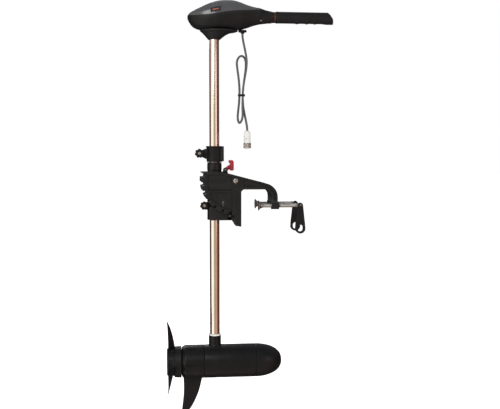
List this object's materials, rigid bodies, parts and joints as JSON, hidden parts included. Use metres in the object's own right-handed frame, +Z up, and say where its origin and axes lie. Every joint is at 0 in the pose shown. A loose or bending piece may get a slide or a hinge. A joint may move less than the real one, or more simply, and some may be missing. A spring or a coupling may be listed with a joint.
{
  "type": "trolling motor",
  "caption": "Transom-mount electric outboard with a tiller head, straight steel shaft, clamp bracket with tilt sector, and a torpedo motor pod driving a propeller.",
  "frame": {"origin": "middle of the clamp frame's face that bears on the transom, at the height of the clamp screws", "axes": "+X inboard along the tiller, +Y across the boat along the tilt bolt, +Z up along the shaft"},
  "size_m": [0.4643, 0.2063, 1.1386],
  "materials": {
    "black_casting": "satin black paint",
    "black_plastic": "moulded satin",
    "grey_gloss_cover": "polished moulded plastic",
    "polished_steel": "polished, slightly warm",
    "zinc_steel": "zinc plated",
    "ferrite": "sintered",
    "laminations": "stacked and varnished",
    "copper": "turned copper",
    "carbon": "pressed carbon",
    "rubber": "moulded rubber",
    "lever_red": "moulded red",
    "nylon": "natural nylon",
    "insulator": "laminate sheet",
    "cord_jacket": "flexible cord jacket"
  },
  "bodies": {
    "frame": {"clamp_frame": "black_casting", "tilt_bolt": "zinc_steel", "tilt_nut": "zinc_steel"},
    "swivel": {"swivel_bracket": "black_casting", "swivel_bush_upper": "nylon", "swivel_bush_lower": "nylon", "tension_bolt": "zinc_steel", "lever_pin": "zinc_steel"},
    "tension_knob": {"tension_knob": "black_plastic"},
    "tilt_lever": {"tilt_lever": "lever_red"},
    "lock_bar": {"lock_bar": "zinc_steel"},
    "collar": {"depth_collar": "black_plastic", "collar_bolt": "zinc_steel"},
    "depth_knob": {"depth_knob": "black_plastic"},
    "column": {"shaft_tube": "polished_steel", "socket_ring": "nylon", "motor_housing": "black_casting", "rear_end_bell": "black_casting", "nose_cone": "black_casting", "skeg": "black_casting", "rear_o_ring": "rubber", "front_o_ring": "rubber", "magnet_top": "ferrite", "magnet_bottom": "ferrite", "front_bearing": "zinc_steel", "rear_bearing": "zinc_steel", "shaft_seal": "rubber", "brush_plate": "insulator", "brush_near": "carbon", "brush_far": "carbon", "through_bolt_near": "zinc_steel", "through_bolt_far": "zinc_steel", "head_lower_shell": "black_plastic", "head_top_cover": "grey_gloss_cover", "head_skirt": "black_plastic", "cord_gland": "rubber", "tiller_ring": "black_plastic", "power_cord": "cord_jacket", "cord_tie": "black_plastic", "plug_body": "nylon", "plug_coupling_ring": "zinc_steel"},
    "rotor": {"propeller_shaft": "zinc_steel", "armature": "laminations", "commutator": "copper", "drive_pin": "zinc_steel", "propeller": "black_plastic", "propeller_washer": "zinc_steel", "propeller_nut": "zinc_steel"},
    "tiller": {"tiller_tube": "black_casting"},
    "grip": {"grip": "rubber"},
    "switch": {"switch_drum": "nylon", "twist_rod": "zinc_steel"},
    "pad_near": {"clamp_pad_near": "zinc_steel"},
    "screw_near": {"clamp_screw_near": "zinc_steel", "handle_pin_near": "zinc_steel"},
    "handle_near": {"clamp_handle_near": "black_plastic"},
    "pad_far": {"clamp_pad_far": "zinc_steel"},
    "screw_far": {"clamp_screw_far": "zinc_steel", "handle_pin_far": "zinc_steel"},
    "handle_far": {"clamp_handle_far": "black_plastic"}
  },
  "joints": [
    {"name": "tilt", "type": "hinge", "parent": "frame", "child": "swivel", "pos_m": [-0.015, 0, 0.068], "axis": [0, 1, 0], "range_deg": [0, 90]},
    {"name": "steer", "type": "hinge", "parent": "swivel", "child": "collar", "pos_m": [-0.07, 0, 0.1], "axis": [0, 0, 1], "continuous": true},
    {"name": "depth", "type": "slide", "parent": "collar", "child": "column", "axis": [0, 0, 1], "range_m": [-0.1, 0.3]},
    {"name": "tiller_extend", "type": "slide", "parent": "column", "child": "tiller", "axis": [1, 0, 0], "range_m": [0, 0.1]},
    {"name": "grip_twist", "type": "hinge", "parent": "tiller", "child": "grip", "pos_m": [0.18, 0, 0.5145], "axis": [1, 0, 0], "range_deg": [-60, 100]},
    {"name": "switch_turn", "type": "hinge", "parent": "column", "child": "switch", "pos_m": [0, 0, 0.5145], "axis": [1, 0, 0], "range_deg": [-60, 100]},
    {"name": "propeller_spin", "type": "hinge", "parent": "column", "child": "rotor", "pos_m": [-0.18, 0, -0.438], "axis": [1, 0, 0], "continuous": true},
    {"name": "depth_knob_turn", "type": "hinge", "parent": "collar", "child": "depth_knob", "pos_m": [-0.112, 0, 0.142], "axis": [0, 1, 0], "range_deg": [0, 360]},
    {"name": "tension_knob_turn", "type": "hinge", "parent": "swivel", "child": "tension_knob", "pos_m": [-0.099, 0, -0.001], "axis": [0, 1, 0], "range_deg": [0, 360]},
    {"name": "tilt_lever_press", "type": "hinge", "parent": "swivel", "child": "tilt_lever", "pos_m": [-0.04, 0, 0.097], "axis": [0, 1, 0], "range_deg": [0, 18]},
    {"name": "lock_bar_lift", "type": "slide", "parent": "swivel", "child": "lock_bar", "axis": [0, 0, 1], "range_m": [0, 0.0066]},
    {"name": "pad_near_slide", "type": "slide", "parent": "frame", "child": "pad_near", "axis": [1, 0, 0], "range_m": [-0.045, 0.0225]},
    {"name": "screw_near_turn", "type": "hinge", "parent": "pad_near", "child": "screw_near", "pos_m": [0.1, -0.043, 0], "axis": [1, 0, 0], "range_deg": [-6481, 3241]},
    {"name": "handle_near_swing", "type": "hinge", "parent": "screw_near", "child": "handle_near", "pos_m": [0.163, -0.043, 0], "axis": [0, 1, 0], "range_deg": [-120, 0]},
    {"name": "pad_far_slide", "type": "slide", "parent": "frame", "child": "pad_far", "axis": [1, 0, 0], "range_m": [-0.045, 0.0225]},
    {"name": "screw_far_turn", "type": "hinge", "parent": "pad_far", "child": "screw_far", "pos_m": [0.1, 0.043, 0], "axis": [1, 0, 0], "range_deg": [-6481, 3241]},
    {"name": "handle_far_swing", "type": "hinge", "parent": "screw_far", "child": "handle_far", "pos_m": [0.163, 0.043, 0], "axis": [0, 1, 0], "range_deg": [-120, 0]}
  ],
  "couplings": [
    {"joint": "switch_turn", "follows": "grip_twist", "ratio": 1},
    {"joint": "lock_bar_lift", "follows": "tilt_lever_press", "m_per_rad": 0.0208},
    {"joint": "screw_near_turn", "follows": "pad_near_slide", "rad_per_m": 2513.3},
    {"joint": "screw_far_turn", "follows": "pad_far_slide", "rad_per_m": 2513.3}
  ]
}
